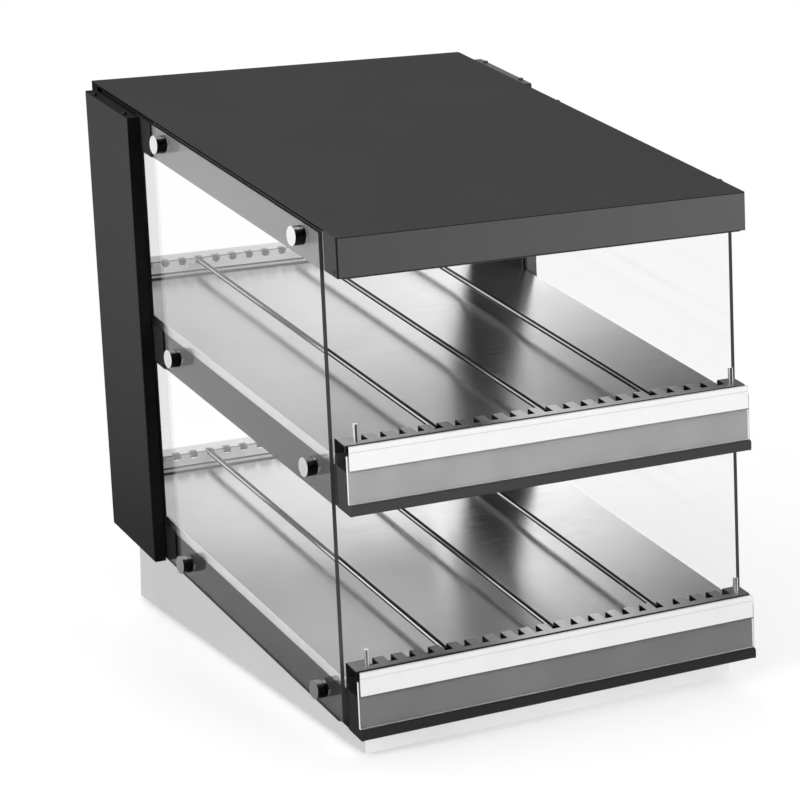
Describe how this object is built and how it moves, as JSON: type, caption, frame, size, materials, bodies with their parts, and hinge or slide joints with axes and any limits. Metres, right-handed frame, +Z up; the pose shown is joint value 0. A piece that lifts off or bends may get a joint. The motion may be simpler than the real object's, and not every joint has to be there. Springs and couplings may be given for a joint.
{
  "type": "heated display case",
  "caption": "Counter-top heated display case with slanted open shelves, comb-mounted divider rods, glass sides and a dark hood on a wedge base.",
  "frame": {"origin": "under the middle of the whole case, on the surface that it stands on", "axes": "+X to the right as the customer sees it, +Y from the open front to the back, +Z up"},
  "size_m": [0.484, 0.5947, 0.5623],
  "materials": {
    "brushed_steel": "pale brushed stainless sheet",
    "deck_steel": "brushed stainless sheet, grain along the width",
    "liner_steel": "satin stainless sheet",
    "comb_steel": "bright stainless sheet",
    "rod_steel": "polished stainless rod",
    "cap_steel": "turned satin stainless",
    "light_rail": "satin stainless sheet, lightly grey",
    "dark_rail": "dark grey powder coat",
    "hood_black": "charcoal powder coat, satin",
    "column_black": "black powder coat, satin",
    "fascia_black": "dark grey powder coat, satin",
    "screw_black": "black oxide",
    "clear_glass": "clear toughened glass with polished edges",
    "clear_plastic": "clear extruded plastic",
    "label_white": "smooth white plastic",
    "black_plastic": "moulded black plastic",
    "rubber": "matt black rubber",
    "foil": "thin foil heater",
    "insulation": "pressed fibre mat"
  },
  "bodies": {
    "cabinet": {"base_floor_plate": "brushed_steel", "base_housing": "brushed_steel", "column_screws": "screw_black", "cord_gland": "black_plastic", "first_thermostat": "black_plastic", "hood_heating_element": "foil", "hood_insulation": "insulation", "hood_liner": "liner_steel", "hood_shell": "hood_black", "left_column_cover": "column_black", "left_column_upright": "column_black", "left_glass_caps": "cap_steel", "left_glass_panel": "clear_glass", "left_hood_rail": "light_rail", "left_lower_rail": "dark_rail", "left_upper_rail": "dark_rail", "lower_comb_pins": "rod_steel", "lower_fascia": "fascia_black", "lower_front_comb": "comb_steel", "lower_heating_element": "foil", "lower_insulation_mat": "insulation", "lower_label_strip": "label_white", "lower_price_holder": "clear_plastic", "lower_rear_comb": "comb_steel", "lower_shelf_deck": "deck_steel", "lower_shelf_pan": "liner_steel", "right_column_cover": "column_black", "right_column_upright": "column_black", "right_glass_caps": "cap_steel", "right_glass_panel": "clear_glass", "right_hood_rail": "light_rail", "right_lower_rail": "dark_rail", "right_upper_rail": "dark_rail", "rubber_feet": "rubber", "second_thermostat": "black_plastic", "switch_frame": "black_plastic", "terminal_block": "black_plastic", "upper_comb_pins": "rod_steel", "upper_fascia": "fascia_black", "upper_front_comb": "comb_steel", "upper_heating_element": "foil", "upper_insulation_mat": "insulation", "upper_label_strip": "label_white", "upper_price_holder": "clear_plastic", "upper_rear_comb": "comb_steel", "upper_shelf_deck": "deck_steel", "upper_shelf_pan": "liner_steel"},
    "lower_divider_rod_1_body": {"lower_divider_rod_1": "rod_steel"},
    "lower_divider_rod_2_body": {"lower_divider_rod_2": "rod_steel"},
    "lower_divider_rod_3_body": {"lower_divider_rod_3": "rod_steel"},
    "upper_divider_rod_1_body": {"upper_divider_rod_1": "rod_steel"},
    "upper_divider_rod_2_body": {"upper_divider_rod_2": "rod_steel"},
    "upper_divider_rod_3_body": {"upper_divider_rod_3": "rod_steel"},
    "first_thermostat_knob_body": {"first_thermostat_knob": "black_plastic"},
    "second_thermostat_knob_body": {"second_thermostat_knob": "black_plastic"},
    "switch_rocker_body": {"switch_rocker": "black_plastic"}
  },
  "joints": [
    {"name": "lower_divider_rod_1_lift", "type": "slide", "parent": "cabinet", "child": "lower_divider_rod_1_body", "axis": [0, 0.0924, 0.9957], "range_m": [0, 0.05]},
    {"name": "lower_divider_rod_2_lift", "type": "slide", "parent": "cabinet", "child": "lower_divider_rod_2_body", "axis": [0, 0.0924, 0.9957], "range_m": [0, 0.05]},
    {"name": "lower_divider_rod_3_lift", "type": "slide", "parent": "cabinet", "child": "lower_divider_rod_3_body", "axis": [0, 0.0924, 0.9957], "range_m": [0, 0.05]},
    {"name": "upper_divider_rod_1_lift", "type": "slide", "parent": "cabinet", "child": "upper_divider_rod_1_body", "axis": [0, 0.0924, 0.9957], "range_m": [0, 0.05]},
    {"name": "upper_divider_rod_2_lift", "type": "slide", "parent": "cabinet", "child": "upper_divider_rod_2_body", "axis": [0, 0.0924, 0.9957], "range_m": [0, 0.05]},
    {"name": "upper_divider_rod_3_lift", "type": "slide", "parent": "cabinet", "child": "upper_divider_rod_3_body", "axis": [0, 0.0924, 0.9957], "range_m": [0, 0.05]},
    {"name": "first_thermostat_knob_turn", "type": "hinge", "parent": "cabinet", "child": "first_thermostat_knob_body", "pos_m": [-0.15, 0.24003, 0.046], "axis": [0, -1, 0], "range_deg": [0, 270]},
    {"name": "second_thermostat_knob_turn", "type": "hinge", "parent": "cabinet", "child": "second_thermostat_knob_body", "pos_m": [-0.08, 0.24003, 0.046], "axis": [0, -1, 0], "range_deg": [0, 270]},
    {"name": "switch_rocker_tilt", "type": "hinge", "parent": "cabinet", "child": "switch_rocker_body", "pos_m": [0.02, 0.23853, 0.046], "axis": [-1, 0, 0], "range_deg": [0, 16]}
  ]
}
